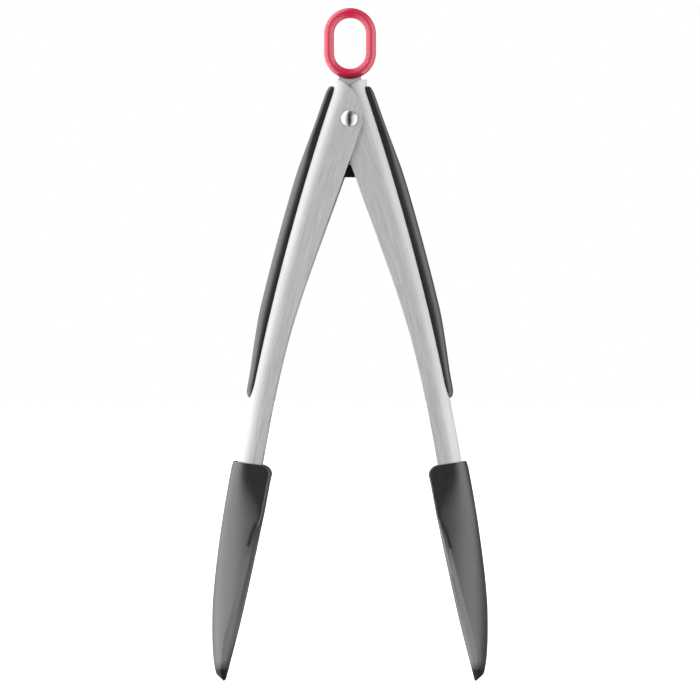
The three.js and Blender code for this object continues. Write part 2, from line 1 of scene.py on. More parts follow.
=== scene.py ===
"""Spring loaded kitchen tongs, hung by their ring with the jaws open, above a plain pale floor.

Metres, +Z up, in the frame of the CAD model. Sizes are written in millimetres and turned into
metres where a mesh is placed. A "drop" is a distance below the rivet that joins the two arms.
"""
import json
import math
import bpy
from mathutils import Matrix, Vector


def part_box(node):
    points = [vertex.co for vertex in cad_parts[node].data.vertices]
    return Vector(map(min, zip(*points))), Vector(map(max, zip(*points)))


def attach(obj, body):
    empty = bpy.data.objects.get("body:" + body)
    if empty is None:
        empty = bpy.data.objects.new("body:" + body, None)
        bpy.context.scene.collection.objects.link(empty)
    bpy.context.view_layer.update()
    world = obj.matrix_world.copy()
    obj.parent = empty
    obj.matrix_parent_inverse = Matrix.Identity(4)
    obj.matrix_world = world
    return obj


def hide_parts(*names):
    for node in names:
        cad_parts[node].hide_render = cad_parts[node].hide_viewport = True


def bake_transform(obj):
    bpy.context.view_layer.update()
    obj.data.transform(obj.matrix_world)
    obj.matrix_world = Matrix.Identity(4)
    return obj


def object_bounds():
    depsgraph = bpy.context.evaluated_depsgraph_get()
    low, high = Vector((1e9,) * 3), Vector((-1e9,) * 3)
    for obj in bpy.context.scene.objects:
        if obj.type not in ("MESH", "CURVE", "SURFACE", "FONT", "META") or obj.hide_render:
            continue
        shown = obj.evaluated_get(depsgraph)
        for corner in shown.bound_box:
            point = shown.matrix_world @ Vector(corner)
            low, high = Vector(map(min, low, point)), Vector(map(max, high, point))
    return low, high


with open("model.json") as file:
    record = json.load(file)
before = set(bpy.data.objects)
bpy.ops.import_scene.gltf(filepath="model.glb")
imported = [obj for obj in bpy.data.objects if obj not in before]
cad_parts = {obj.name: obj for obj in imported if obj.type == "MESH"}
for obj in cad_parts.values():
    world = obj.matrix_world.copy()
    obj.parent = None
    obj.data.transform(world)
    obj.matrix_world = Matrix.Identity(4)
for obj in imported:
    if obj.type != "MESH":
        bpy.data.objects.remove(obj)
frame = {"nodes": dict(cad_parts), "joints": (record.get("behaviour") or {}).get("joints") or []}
cad_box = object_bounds()

# ---- Arms ---------------------------------------------------------------------------------------
# Two channels stamped from 0.9 mm stainless sheet and brushed along their length. The left one's
# ears lie outside the right one's, and both turn on the rivet.
MM = 0.001
PIVOT = Vector(next(j for j in frame["joints"] if j["name"] == "left_arm_hinge")["pos_m"])
SHEET = 0.9
BEND = 7.0
WEB_OFFSET, WEB_LEAN, BOW_RADIUS = 12.1, 0.323, 1017.0
EAR_RADIUS, EAR_HEIGHT, EAR_LOW = 17.85, 1.0, 5.75
ARM_TOP, ARM_END = -17.6, 170.0
UPRIGHT_ABOVE = -13.6  # drop above which the web stands upright
LOWER_EDGE_DROP = 18.4  # where the walls' lower free edge begins
RIVET_HOLE = 2.4
GROUND_EDGE = 0.42  # width of the ground edge round each wall
SIDES = (("left", -1), ("right", 1))
HALF_WIDTH = {
    side: (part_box(f"{side}_arm_channel")[1][1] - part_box(f"{side}_arm_channel")[0][1]) / 2 / MM
    for side, _ in SIDES
}


def through(rows):
    """A smooth curve through (position, value) rows that never swings past the rows beside it."""
    slopes = [(b[1] - a[1]) / (b[0] - a[0]) for a, b in zip(rows, rows[1:])]
    tangents = [slopes[0]]
    for before, after in zip(slopes, slopes[1:]):
        tangents.append(2 * before * after / (before + after) if before * after > 0 else 0.0)
    tangents.append(slopes[-1])

    def value(position):
        i = 0
        while i < len(rows) - 2 and rows[i + 1][0] <= position:
            i += 1
        span = rows[i + 1][0] - rows[i][0]
        t = min(max((position - rows[i][0]) / span, 0.0), 1.0)
        ease = t * t * (3 - 2 * t)
        leave = tangents[i] * span * t * (1 - t) ** 2
        arrive = tangents[i + 1] * span * t * t * (1 - t)
        return rows[i][1] + (rows[i + 1][1] - rows[i][1]) * ease + leave - arrive

    return value


def smooth(low, high, x):
    t = min(max((x - low) / (high - low), 0.0), 1.0)
    return t * t * (3 - 2 * t)


def mix(a, b, t):
    return a + (b - a) * t


wall_depth = through([
    (LOWER_EDGE_DROP, 18.0), (36, 16.9), (58.6, 14.9), (81.9, 12.7), (103, 11.4), (124.8, 11.0),
    (ARM_END, 11)])


def web_at(drop):
    """The web's outer face from the middle. It stands upright near the arm's top."""
    leaning = max(drop, UPRIGHT_ABOVE)
    return WEB_OFFSET + WEB_LEAN * leaning - leaning * leaning / (2 * BOW_RADIUS)


def free_edge_at(drop):
    """The walls' free edge: an arc at the ear, then the tapering lower edge."""
    if drop < EAR_LOW:
        return WEB_OFFSET - math.sqrt(max(EAR_RADIUS ** 2 - (drop + EAR_HEIGHT) ** 2, 0.0))
    if drop < LOWER_EDGE_DROP:
        start = WEB_OFFSET - math.sqrt(EAR_RADIUS ** 2 - (EAR_LOW + EAR_HEIGHT) ** 2)
        end = web_at(LOWER_EDGE_DROP) - wall_depth(LOWER_EDGE_DROP)
        return mix(start, end, (drop - EAR_LOW) / (LOWER_EDGE_DROP - EAR_LOW))
    return web_at(drop) - wall_depth(drop)


def put(x, y, drop):
    """A point given in millimetres about the rivet, in the model's frame."""
    return PIVOT + Vector((x, y, -drop)) * MM


def formed_grid(name, across, along, place, closed=False):
    """A flat grid, formed so that its corner (i, j) lies at place(i, j)."""
    bpy.ops.object.select_all(action="DESELECT")
    bpy.ops.mesh.primitive_grid_add(x_subdivisions=across, y_subdivisions=along, size=1)
    piece = bpy.context.object
    piece.name = piece.data.name = name
    for corner in piece.data.vertices:
        i = round((corner.co.x + 0.5) * across)
        j = round((corner.co.y + 0.5) * along)
        corner.co = place(i, j)
    if closed:
        close_seams(piece)
    return piece


def close_seams(piece, fill=True):
    """Joins touching edges, caps open ends and turns every face outwards."""
    bpy.ops.object.mode_set(mode="EDIT")
    bpy.ops.mesh.select_all(action="SELECT")
    bpy.ops.mesh.remove_doubles(threshold=1e-6)
    if fill:
        bpy.ops.mesh.select_all(action="DESELECT")
        bpy.ops.mesh.select_mode(type="EDGE")
        bpy.ops.mesh.select_non_manifold(
            use_wire=False, use_multi_face=False, use_non_contiguous=False, use_verts=False)
        bpy.ops.mesh.fill_holes(sides=0)
    bpy.ops.mesh.select_all(action="SELECT")
    bpy.ops.mesh.normals_make_consistent(inside=False)
    bpy.ops.object.mode_set(mode="OBJECT")


def apply_modifiers(piece):
    bpy.ops.object.select_all(action="DESELECT")
    piece.select_set(True)
    bpy.context.view_layer.objects.active = piece
    for modifier in list(piece.modifiers):
        bpy.ops.object.modifier_apply(modifier=modifier.name)


def rounded(piece, width, segments=2, angle=40, material=-1):
    """Breaks the sharp edges of a finished piece and smooths its faces."""
    bevel = piece.modifiers.new("edges", "BEVEL")
    bevel.width = width * MM
    bevel.segments = segments
    bevel.limit_method = "ANGLE"
    bevel.angle_limit = math.radians(angle)
    bevel.use_clamp_overlap = True
    bevel.material = material
    apply_modifiers(piece)
    bpy.ops.object.shade_smooth_by_angle(angle=math.radians(angle))


def settle(piece):
    """Moves a piece's place from its object into its mesh."""
    bpy.ops.object.select_all(action="DESELECT")
    piece.select_set(True)
    bpy.context.view_layer.objects.active = piece
    bpy.ops.object.transform_apply(location=True, rotation=True, scale=True)


def bar(radius, start, end, sides=32, name="bar"):
    """A plain round bar between two points."""
    bpy.ops.object.select_all(action="DESELECT")
    bpy.ops.mesh.primitive_cylinder_add(vertices=sides, radius=radius * MM, depth=(end - start).length)
    piece = bpy.context.object
    piece.name = piece.data.name = name
    piece.rotation_mode = "QUATERNION"
    piece.rotation_quaternion = Vector((0, 0, 1)).rotation_difference(end - start)
    piece.location = (start + end) / 2
    settle(piece)
    return piece


def cut(piece, tool):
    hole = piece.modifiers.new("hole", "BOOLEAN")
    hole.object = tool
    hole.operation = "DIFFERENCE"
    hole.solver = "EXACT"
    apply_modifiers(piece)
    bpy.data.objects.remove(tool)


def dress(piece, *materials):
    """Gives a piece these materials and no others."""
    piece.data.materials.clear()
    for material in materials:
        piece.data.materials.append(material)


def finish(name, colour, roughness, metallic=0.0, **sockets):
    """A material with its constant values set on the shader itself. Returns its parts."""
    material = bpy.data.materials.new(name)
    material.use_nodes = True
    nodes, links = material.node_tree.nodes, material.node_tree.links
    shader = nodes["Principled BSDF"]
    shader.inputs["Base Color"].default_value = (*colour, 1)
    shader.inputs["Roughness"].default_value = roughness
    shader.inputs["Metallic"].default_value = metallic
    for socket, value in sockets.items():
        shader.inputs[socket.replace("_", " ")].default_value = value
    return material, nodes, links, shader


def pattern(nodes, links, scale, stretch=(1, 1, 1), detail=3, rough=0.55, source=None):
    """Noise on the piece's own coordinates. scale is in features per metre."""
    source = source or nodes.new("ShaderNodeTexCoord").outputs["Object"]
    mapping = nodes.new("ShaderNodeMapping")
    mapping.inputs["Scale"].default_value = stretch
    noise = nodes.new("ShaderNodeTexNoise")
    noise.inputs["Scale"].default_value = scale
    noise.inputs["Detail"].default_value = detail
    noise.inputs["Roughness"].default_value = rough
    links.new(source, mapping.inputs["Vector"])
    links.new(mapping.outputs["Vector"], noise.inputs["Vector"])
    return noise.outputs["Fac"]


def ranged(nodes, links, source, low, high, start=0.3, end=0.7):
    spread = nodes.new("ShaderNodeMapRange")
    spread.inputs["From Min"].default_value = start
    spread.inputs["From Max"].default_value = end
    spread.inputs["To Min"].default_value = low
    spread.inputs["To Max"].default_value = high
    links.new(source, spread.inputs["Value"])
    return spread.outputs["Result"]


def tinted(nodes, links, source, dark, light, start=0.3, end=0.7):
    ramp = nodes.new("ShaderNodeValToRGB")
    ramp.color_ramp.elements[0].position = start
    ramp.color_ramp.elements[0].color = (*dark, 1)
    ramp.color_ramp.elements[1].position = end
    ramp.color_ramp.elements[1].color = (*light, 1)
    links.new(source, ramp.inputs["Fac"])
    return ramp.outputs["Color"]


def bumped(nodes, links, shader, source, strength, distance):
    bump = nodes.new("ShaderNodeBump")
    bump.inputs["Strength"].default_value = strength
    bump.inputs["Distance"].default_value = distance
    links.new(source, bump.inputs["Height"])
    links.new(bump.outputs["Normal"], shader.inputs["Normal"])
    return bump


def math_node(nodes, links, operation, *terms):
    """One step of arithmetic. A term is a number or another node's output."""
    step = nodes.new("ShaderNodeMath")
    step.operation = operation
    for socket, term in zip(step.inputs, terms):
        if isinstance(term, (int, float)):
            socket.default_value = term
        else:
            links.new(term, socket)
    return step.outputs["Value"]


def along_the_arm(nodes, links, side):
    """The piece's coordinates with the arm's bow taken out, so that a streak follows the web."""
    split = nodes.new("ShaderNodeSeparateXYZ")
    links.new(nodes.new("ShaderNodeTexCoord").outputs["Object"], split.inputs["Vector"])
    drop = math_node(nodes, links, "SUBTRACT", PIVOT.z, split.outputs["Z"])
    slope = math_node(nodes, links, "MULTIPLY_ADD", drop, -side / (2 * BOW_RADIUS * MM), side * WEB_LEAN)
    bow = math_node(nodes, links, "MULTIPLY_ADD", drop, slope, side * WEB_OFFSET * MM)
    joined = nodes.new("ShaderNodeCombineXYZ")
    links.new(math_node(nodes, links, "SUBTRACT", split.outputs["X"], bow), joined.inputs["X"])
    links.new(split.outputs["Y"], joined.inputs["Y"])
    links.new(split.outputs["Z"], joined.inputs["Z"])
    return joined.outputs["Vector"]


def brushed_along(nodes, links, shader, lean):
    """Blurs reflections across streaks that run down a piece and lean by so much X per Z."""
    streak = nodes.new("ShaderNodeCombineXYZ")
    streak.inputs["X"].default_value = lean
    streak.inputs["Z"].default_value = 1.0
    turned_with = nodes.new("ShaderNodeVectorTransform")
    turned_with.vector_type = "VECTOR"
    turned_with.convert_from = "OBJECT"
    turned_with.convert_to = "WORLD"
    links.new(streak.outputs["Vector"], turned_with.inputs["Vector"])
    links.new(turned_with.outputs["Vector"], shader.inputs["Tangent"])


def brushed_steel(name, side):
    """Fine streaks that follow an arm, over slow patches of wear."""
    material, nodes, links, shader = finish(name, (0.86, 0.865, 0.87), 0.45, 1.0, Anisotropic=0.92,
                                            Anisotropic_Rotation=0.25)
    brushed_along(nodes, links, shader, -side * 0.24)
    upright = along_the_arm(nodes, links, side)
    streaks = pattern(nodes, links, 1.0, (2400, 2400, 130), 4, 0.6, upright)
    broad = pattern(nodes, links, 1.0, (1000, 1000, 40), 3, 0.5, upright)
    cloud = pattern(nodes, links, 38.0, (1, 1, 0.35), 2, 0.5, upright)
    both = nodes.new("ShaderNodeMix")
    both.data_type = "FLOAT"
    both.inputs["Factor"].default_value = 0.35
    links.new(streaks, both.inputs["A"])
    links.new(broad, both.inputs["B"])
    grain = both.outputs["Result"]
    tint = tinted(nodes, links, grain, (0.66, 0.665, 0.67), (0.94, 0.94, 0.94))
    links.new(tint, shader.inputs["Base Color"])
    rough = math_node(nodes, links, "ADD", ranged(nodes, links, grain, 0.42, 0.52),
                      ranged(nodes, links, cloud, -0.03, 0.04))
    links.new(rough, shader.inputs["Roughness"])
    bumped(nodes, links, shader, streaks, 0.25, 0.00003)
    return material


WEB_POINTS = 4
ARC_POINTS = 7
WALL_POINTS = 8
ARM_STATIONS = [ARM_TOP + 0.012 * k * k for k in range(18)] + [
    mix(-13.4, EAR_LOW, k / 16) for k in range(17)] + [mix(7, ARM_END, k / 60) for k in range(61)]


def channel_point(side, half, i, drop):
    """Points of one channel's outside, from the front wall's free edge round to the back one's."""
    last = 2 * (ARC_POINTS + WALL_POINTS) + WEB_POINTS
    front = i <= last / 2
    step = i if front else last - i
    depth = max(web_at(drop) - free_edge_at(drop), 0.5)
    bend_reach = min(BEND, 0.7 * depth)
    if step < WALL_POINTS:
        inward = mix(depth, bend_reach, step / WALL_POINTS)
    elif step < WALL_POINTS + ARC_POINTS:
        angle = math.acos(1 - bend_reach / BEND) * (1 - (step - WALL_POINTS) / ARC_POINTS)
        inward = BEND * (1 - math.cos(angle))
    else:
        inward = 0.0
    if step >= WALL_POINTS + ARC_POINTS:
        y = (half - BEND) * (1 - 2 * (i - WALL_POINTS - ARC_POINTS) / WEB_POINTS)
    else:
        gone = max(BEND - inward, 0.0)
        y = (half - BEND + math.sqrt(BEND ** 2 - gone ** 2)) * (1 if front else -1)
    return put(side * (web_at(drop) - inward), -y, drop)


# The ground edge round each wall: a smoother finish, partly real, with its colour made paler than the
# brushed faces to paint a bright highlight line along the edges.
ground_edge_and_highlight, nodes, links, shader = finish("ground_edge_and_highlight", (0.95, 0.95, 0.95), 0.16, 1.0)
nicks = pattern(nodes, links, 1800, detail=3)
links.new(ranged(nodes, links, nicks, 0.12, 0.22), shader.inputs["Roughness"])
tint = tinted(nodes, links, nicks, (0.9, 0.9, 0.905), (0.98, 0.98, 0.98))
links.new(tint, shader.inputs["Base Color"])

for side, sign in SIDES:
    half = HALF_WIDTH[side]
    around = 2 * (ARC_POINTS + WALL_POINTS) + WEB_POINTS
    arm = formed_grid(f"{side}_arm", around, len(ARM_STATIONS) - 1,
                      lambda i, j: channel_point(sign, half, i, ARM_STATIONS[j]))
    bpy.ops.object.mode_set(mode="EDIT")
    bpy.ops.mesh.select_all(action="SELECT")
    bpy.ops.mesh.remove_doubles(threshold=1e-6)
    bpy.ops.mesh.normals_make_consistent(inside=False)
    bpy.ops.object.mode_set(mode="OBJECT")
    if min(arm.data.polygons, key=lambda f: abs(f.center.y) - sign * f.center.x * 9).normal.x * sign < 0:
        arm.data.flip_normals()
    wall = arm.modifiers.new("sheet", "SOLIDIFY")
    wall.thickness = SHEET * MM
    wall.offset = -1
    wall.use_even_offset = True
    apply_modifiers(arm)
    cut(arm, bar(RIVET_HOLE, put(0, -15, 0), put(0, 15, 0)))
    dress(arm, brushed_steel(f"{side}_brushed", sign), ground_edge_and_highlight)
    rounded(arm, GROUND_EDGE, 3, 50, material=1)
    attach(arm, f"{side}_arm")
    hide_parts(f"{side}_arm_channel")

# ---- Grips --------------------------------------------------------------------------------------
# A soft black cover moulded over the back of each arm. It is crowned, swells where the hand closes,
# and is held by pegs moulded into the web.
GRIP_TOP, GRIP_END, GRIP_INSET, GRIP_GAP = -14.6, 124.3, 3.4, 0.12
PEG_RADIUS, PEG_ROOT, PEG_REACH = 1.6, 1.4, 1.1
PEG_DROPS = [mix(GRIP_TOP, GRIP_END, share) for share in (0.25, 0.58, 0.91)]
grip_fullness = through([(0, 6.5), (0.14, 6.5), (0.27, 3.3), (1, 3.3)])
grip_thickness = through([
    (0, 1.8), (0.02, 2.5), (0.105, 2.8), (0.235, 3.85), (0.26, 4.1), (0.335, 4.25), (0.71, 4.2),
    (0.825, 3.3), (0.925, 2.3), (0.975, 2.1), (1, 0.9)])
grip_wrap = through([(0, 1.0), (0.06, 1.2), (1, 1.2)])
grip_narrow = through([(0, 0.9), (0.02, 1), (0.95, 1), (0.985, 0.9), (1, 0.72)])
GRIP_OUT, GRIP_UNDER = 40, 24
GRIP_STATIONS = [0, 0.002, 0.006, 0.012, 0.02] + [mix(0.03, 0.95, k / 90) for k in range(91)] + [
    0.96, 0.97, 0.98, 0.988, 0.994, 0.998, 1]
END_ROUND = 0.9


def end_shrink(share, length, radius):
    """How far a section draws in close to either end, so that the end is rounded."""
    near = min(share, 1 - share) * length
    if near >= radius:
        return 0.0
    return radius - math.sqrt(max(radius ** 2 - (radius - near) ** 2, 0.0))


def grip_point(side, half_width, i, share):
    drop = mix(GRIP_TOP, GRIP_END, share)
    shrink = end_shrink(share, GRIP_END - GRIP_TOP, END_ROUND)
    wrap = max(grip_wrap(share) - shrink * 0.4, 0.3)
    half = (half_width - GRIP_INSET) * grip_narrow(share) - shrink
    if i <= GRIP_OUT:
        angle = math.pi * i / GRIP_OUT
        power = 2 / grip_fullness(share)
        rise = max(math.sin(angle), 0.0) ** power * max(grip_thickness(share) + wrap - shrink, 0.25)
        across = math.copysign(abs(math.cos(angle)) ** power, math.cos(angle)) * half
        return put(side * (web_at(drop) - wrap + rise), -across, drop)
    t = (i - GRIP_OUT) / (GRIP_UNDER + 1)
    y = mix(-half, half, 0.5 - 0.5 * math.cos(math.pi * t))
    flat = half_width - BEND
    past = max(abs(y) - flat, 0.0)
    reach = BEND + GRIP_GAP
    under = min(BEND - math.sqrt(max(reach ** 2 - past ** 2, 0.0)), wrap)
    return put(side * (web_at(drop) - under), -y, drop)


def soft_grip(name):
    """Soft-touch rubber: a fine even grain, slow cloudy wear, a low sheen."""
    material, nodes, links, shader = finish(
        name, (0.006, 0.0065, 0.007), 0.38, IOR=1.95, Specular_IOR_Level=0.6, Sheen_Weight=0.1,
        Sheen_Roughness=0.4)
    grain = pattern(nodes, links, 2600, detail=3, rough=0.6)
    cloud = pattern(nodes, links, 55, (1, 1, 0.4), detail=3)
    tint = tinted(nodes, links, cloud, (0.004, 0.0045, 0.005), (0.008, 0.0085, 0.0095))
    links.new(tint, shader.inputs["Base Color"])
    rough = math_node(nodes, links, "ADD", ranged(nodes, links, cloud, 0.34, 0.40),
                      ranged(nodes, links, grain, -0.05, 0.05))
    links.new(rough, shader.inputs["Roughness"])
    bumped(nodes, links, shader, grain, 0.3, 0.00005)
    return material


grip_black = soft_grip("grip_black")
for side, sign in SIDES:
    half = HALF_WIDTH[side]
    around = GRIP_OUT + GRIP_UNDER + 1
    grip = formed_grid(f"{side}_soft_grip", around, len(GRIP_STATIONS) - 1,
                       lambda i, j: grip_point(sign, half, i % around, GRIP_STATIONS[j]), closed=True)
    for drop in PEG_DROPS:
        angle = math.atan(WEB_LEAN - drop / BOW_RADIUS)
        inward = Vector((-sign * math.cos(angle), 0, -math.sin(angle)))
        root = put(sign * web_at(drop), 0, drop)
        peg = bar(PEG_RADIUS, root - inward * PEG_ROOT * MM, root + inward * PEG_REACH * MM, 32)
        join = grip.modifiers.new("peg", "BOOLEAN")
        join.object = peg
        join.operation = "UNION"
        join.solver = "EXACT"
        apply_modifiers(grip)
        bpy.data.objects.remove(peg)
    rounded(grip, 0.12, 2, 50)
    dress(grip, grip_black)
    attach(grip, f"{side}_arm")
    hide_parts(f"{side}_grip")

# ---- Heads --------------------------------------------------------------------------------------
# Silicone boots over the ends of the arms: a sleeve that swells into a leaf shaped jaw, with a
# bevelled rim, a dished gripping face with low ribs, and a tip cut on the slant.
HEAD_TOP, HEAD_LENGTH = 152.5, 98.0
BOOT_WALL, BOOT_INNER, BOOT_WIDEST = 2.2, 4.5, 18.0
CLOSE_SLOPE = math.tan(math.radians(12.3))
boot_back = through([(0, 2.1), (0.03, 2.5), (0.33, 2.9), (0.48, 2.85), (0.63, 2.5), (0.77, 1.4), (0.88, 0),
                     (0.956, -1.7), (0.972, -2.35), (0.978, -3.0), (1, -5.6)])
boot_corner = through([
    (0, 4.5), (0.004, 2.9), (0.012, 1.6), (0.022, 0.8), (0.036, 0.2), (0.05, 0), (1, 0)])
boot_rim = through([(0.12, 1.2), (0.26, 0.3), (0.41, 0.1), (0.56, 0.1), (0.7, 0.2), (0.85, 0.6),
                    (0.956, 1.0), (1, 1.1)])
boot_spread = through([
    (0, 0), (0.12, 0.04), (0.3, 0.4), (0.5, 0.82), (0.68, 1), (0.8, 0.86), (0.9, 0.42),
    (0.96, -0.12), (1, -0.8)])
bevel_width = through([(0, 0.8), (0.25, 0.8), (0.33, 2.8), (0.455, 3.5), (0.637, 4.2), (0.816, 4.9),
                       (0.9, 4.8), (1, 3.6)])
LIP_WIDTH, LIP_INSET = 1.8, 2.6
bevel_inset = through([
    (0, 0.8), (0.26, 0.8), (0.3, 0.3), (0.36, 0.45), (0.5, 1.2), (0.75, 1.8), (0.93, 1.6), (1, 0.5)])
RIB_TOP, RIB_END, RIB_PITCH, RIB_DEPTH = 176.0, 224.0, 2.75, 0.5
DISH = 5.2
BACK_TILT = math.radians(24)
HEAD_END_ROUND = 0.3
BACK_POINTS, SIDE_POINTS, BEVEL_POINTS, FACE_POINTS = 22, 6, 6, 12
BOOT_STATIONS = (
    [0, 0.001, 0.003, 0.006, 0.01, 0.014, 0.019, 0.026, 0.035, 0.045, 0.055]
    + [mix(0.07, 0.22, k / 12) for k in range(13)]
    + [mix(0.228, 0.74, k / 128) for k in range(129)]
    + [mix(0.75, 0.95, k / 18) for k in range(19)]
    + [0.96, 0.968, 0.975, 0.981, 0.987, 0.992, 0.996, 0.999, 1])


def boot_half_section(half_width, share, drop):
    """Half of a boot's section, from the middle of its back round to the middle of its face."""
    shrink = end_shrink(share, HEAD_LENGTH, HEAD_END_ROUND)
    outer = web_at(drop) + boot_back(share) - shrink
    walls = web_at(drop) - wall_depth(drop) - BOOT_INNER + boot_corner(share)
    inner = mix(walls, drop * CLOSE_SLOPE + boot_rim(share), smooth(0.1, 0.3, share)) + shrink
    sleeve = half_width + BOOT_WALL
    half = sleeve + (BOOT_WIDEST - sleeve) * boot_spread(share) - shrink
    roundness = 2 / mix(3.0, 2.1, smooth(0.1, 0.62, share))
    ribbed = smooth(RIB_TOP, RIB_TOP + 4, drop) * (1 - smooth(RIB_END - 6, RIB_END, drop))
    rib = ribbed * RIB_DEPTH * (0.5 - 0.5 * math.cos(2 * math.pi * (drop - RIB_TOP) / RIB_PITCH)) ** 0.7
    dish = DISH * smooth(0.16, 0.55, share) * (1 - smooth(0.7, 1, share))
    wide, inset = bevel_width(share), bevel_inset(share)
    middle = (outer + inner) / 2
    wide = min(wide, (middle - inner) * 0.9)
    middle = mix(middle, inner + wide, smooth(0.04, 0.28, share))
    jaw = smooth(0.24, 0.32, share)
    lip_width = min(LIP_WIDTH, wide * 0.4)
    lip_inset = LIP_INSET * jaw * (1 - 0.8 * smooth(0.9, 1, share))
    turn = math.pi / 2 - BACK_TILT * smooth(0.04, 0.28, share)
    centre = (middle - outer * math.cos(turn) ** roundness) / (1 - math.cos(turn) ** roundness)
    points = []
    for k in range(BACK_POINTS):
        angle = turn * k / BACK_POINTS
        points.append((centre + (outer - centre) * math.cos(angle) ** roundness,
                       half * (math.sin(angle) / math.sin(turn)) ** roundness))
    for k in range(SIDE_POINTS):
        points.append((mix(middle, inner + wide, k / (SIDE_POINTS - 1)), half))
    for k in range(BEVEL_POINTS + 1):
        t = k / BEVEL_POINTS
        if t <= 0.5:
            straight = (mix(inner + wide, inner + lip_width, 2 * t), half - inset * 2 * t)
        else:
            straight = (inner + lip_width * 2 * (1 - t), half - inset - lip_inset * (2 * t - 1))
        curved = (inner + wide * (1 - math.sin(t * math.pi / 2)),
                  half - inset * (1 - math.cos(t * math.pi / 2)))
        points.append((mix(curved[0], straight[0], jaw), mix(curved[1], straight[1], jaw)))
    edge = half - inset - lip_inset
    lip = min(0.5, edge * 0.2)
    for k in range(1, FACE_POINTS + 1):
        t = k / FACE_POINTS
        y = (edge - 0.15) * (1 - t ** 1.15) if k > 1 else edge - 0.15
        y = max(y, 0.0)
        inside = smooth(0, 1, (edge - y) / max(lip, 0.1))
        hollow = dish * (1 - (y / edge) ** 2) if edge > 0.1 else 0.0
        points.append((inner + hollow + rib * (0.35 + 0.65 * inside), y))
    points[-1] = (points[-1][0], 0.0)
    return points


HALF_POINTS = BACK_POINTS + SIDE_POINTS + BEVEL_POINTS + 1 + FACE_POINTS
SLEEVE_SLOPE = 0.14


def boot_point(side, sections, i, j):
    drop, points = sections[j]
    share = (drop - HEAD_TOP) / HEAD_LENGTH
    front = i < HALF_POINTS
    x, y = points[i] if front else points[2 * HALF_POINTS - 2 - i]
    outer = points[0][0]
    lean = SLEEVE_SLOPE * (outer - x) * (1 - smooth(0, 0.12, share))
    return put(side * x, -y if front else y, drop + lean)


# Painted shade at the boot tips: the length of the darkened tip and of the fade above it, in mm.
PAINTED_TIP_SHADE, PAINTED_TIP_SHADE_FADE = 5, 4.5
PAINTED_TIP_SHADE_BELOW = put(0, 0, HEAD_TOP + HEAD_LENGTH - PAINTED_TIP_SHADE).z


def silicone(name):
    """Dark grey silicone: a fine moulded grain and faint cloudy marks, with painted shade at the tip, where
    the shine is turned down.
    """
    material, nodes, links, shader = finish(
        name, (0.007, 0.0075, 0.008), 0.36, IOR=1.95, Specular_IOR_Level=0.6, Sheen_Weight=0.08,
        Sheen_Roughness=0.5)
    grain = pattern(nodes, links, 1700, detail=4, rough=0.65)
    cloud = pattern(nodes, links, 42, detail=3)
    tint = tinted(nodes, links, cloud, (0.005, 0.0055, 0.006), (0.009, 0.0096, 0.0102))
    links.new(tint, shader.inputs["Base Color"])
    rough = math_node(nodes, links, "ADD", ranged(nodes, links, cloud, 0.33, 0.38),
                      ranged(nodes, links, grain, -0.06, 0.06))
    links.new(rough, shader.inputs["Roughness"])
    bumped(nodes, links, shader, grain, 0.8, 0.0001)
    # Painted shade: the shine drops to almost nothing over the last few millimetres of the tip, so the tip
    # reads dark as if it were turned away from the light.
    split = nodes.new("ShaderNodeSeparateXYZ")
    links.new(nodes.new("ShaderNodeTexCoord").outputs["Object"], split.inputs["Vector"])
    tip_shade_reflectance = ranged(nodes, links, split.outputs["Z"], 0.02, 0.6, PAINTED_TIP_SHADE_BELOW, PAINTED_TIP_SHADE_BELOW + PAINTED_TIP_SHADE_FADE * MM)
    links.new(tip_shade_reflectance, shader.inputs["Specular IOR Level"])
    return material


boot_grey = silicone("boot_grey")
for side, sign in SIDES:
    half = HALF_WIDTH[side]
    drops = [mix(HEAD_TOP, HEAD_TOP + HEAD_LENGTH, share) for share in BOOT_STATIONS]
    sections = [(drop, boot_half_section(half, share, drop)) for share, drop in zip(BOOT_STATIONS, drops)]
    around = 2 * HALF_POINTS - 2
    boot = formed_grid(f"{side}_silicone_boot", around, len(drops) - 1,
                       lambda i, j: boot_point(sign, sections, i % around, j), closed=True)
    gap = 0.15
    socket_end = 0.3
    socket_drops = [HEAD_TOP - 3, HEAD_TOP + 5, HEAD_TOP + 12, ARM_END + socket_end]

    def socket_point(i, j):
        drop = socket_drops[j]
        corners = 12
        k = i % (2 * corners + 4)
        depth = wall_depth(drop) + gap
        reach = BEND + gap
        if k <= corners:
            angle = math.pi / 2 * k / corners
            inward, y = BEND - reach * math.sin(angle), half - BEND + reach * math.cos(angle)
        elif k <= 2 * corners + 1:
            angle = math.pi / 2 * (k - corners - 1) / corners
            inward, y = BEND - reach * math.cos(angle), -(half - BEND + reach * math.sin(angle))
        else:
            inward, y = depth, (half + gap) * (-1 if k == 2 * corners + 2 else 1)
        return put(sign * (web_at(drop) - inward), -y, drop)

    socket = formed_grid("socket", 28, 3, socket_point, closed=True)
    cut(boot, socket)
    bpy.ops.object.shade_smooth_by_angle(angle=math.radians(32))
    dress(boot, boot_grey)
    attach(boot, f"{side}_arm")
    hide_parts(f"{side}_boot")

# ---- Rivet --------------------------------------------------------------------------------------
# The rivet that joins the arms: a polished domed head in front, its shank, and a domed cap behind.
RIVET_SEAT, HEAD_RADIUS, HEAD_HEIGHT, SHANK = 10.9, 3.65, 1.7, 2.2
DOME = 14


def turned(name, profile, sides=64):
    """A profile of (radius, y) rows turned about the rivet's axis."""
    def place(i, j):
        radius, y = profile[j]
        angle = 2 * math.pi * (i % sides) / sides
        return put(radius * math.cos(angle), y, -radius * math.sin(angle))
    return formed_grid(name, sides, len(profile) - 1, place, closed=True)


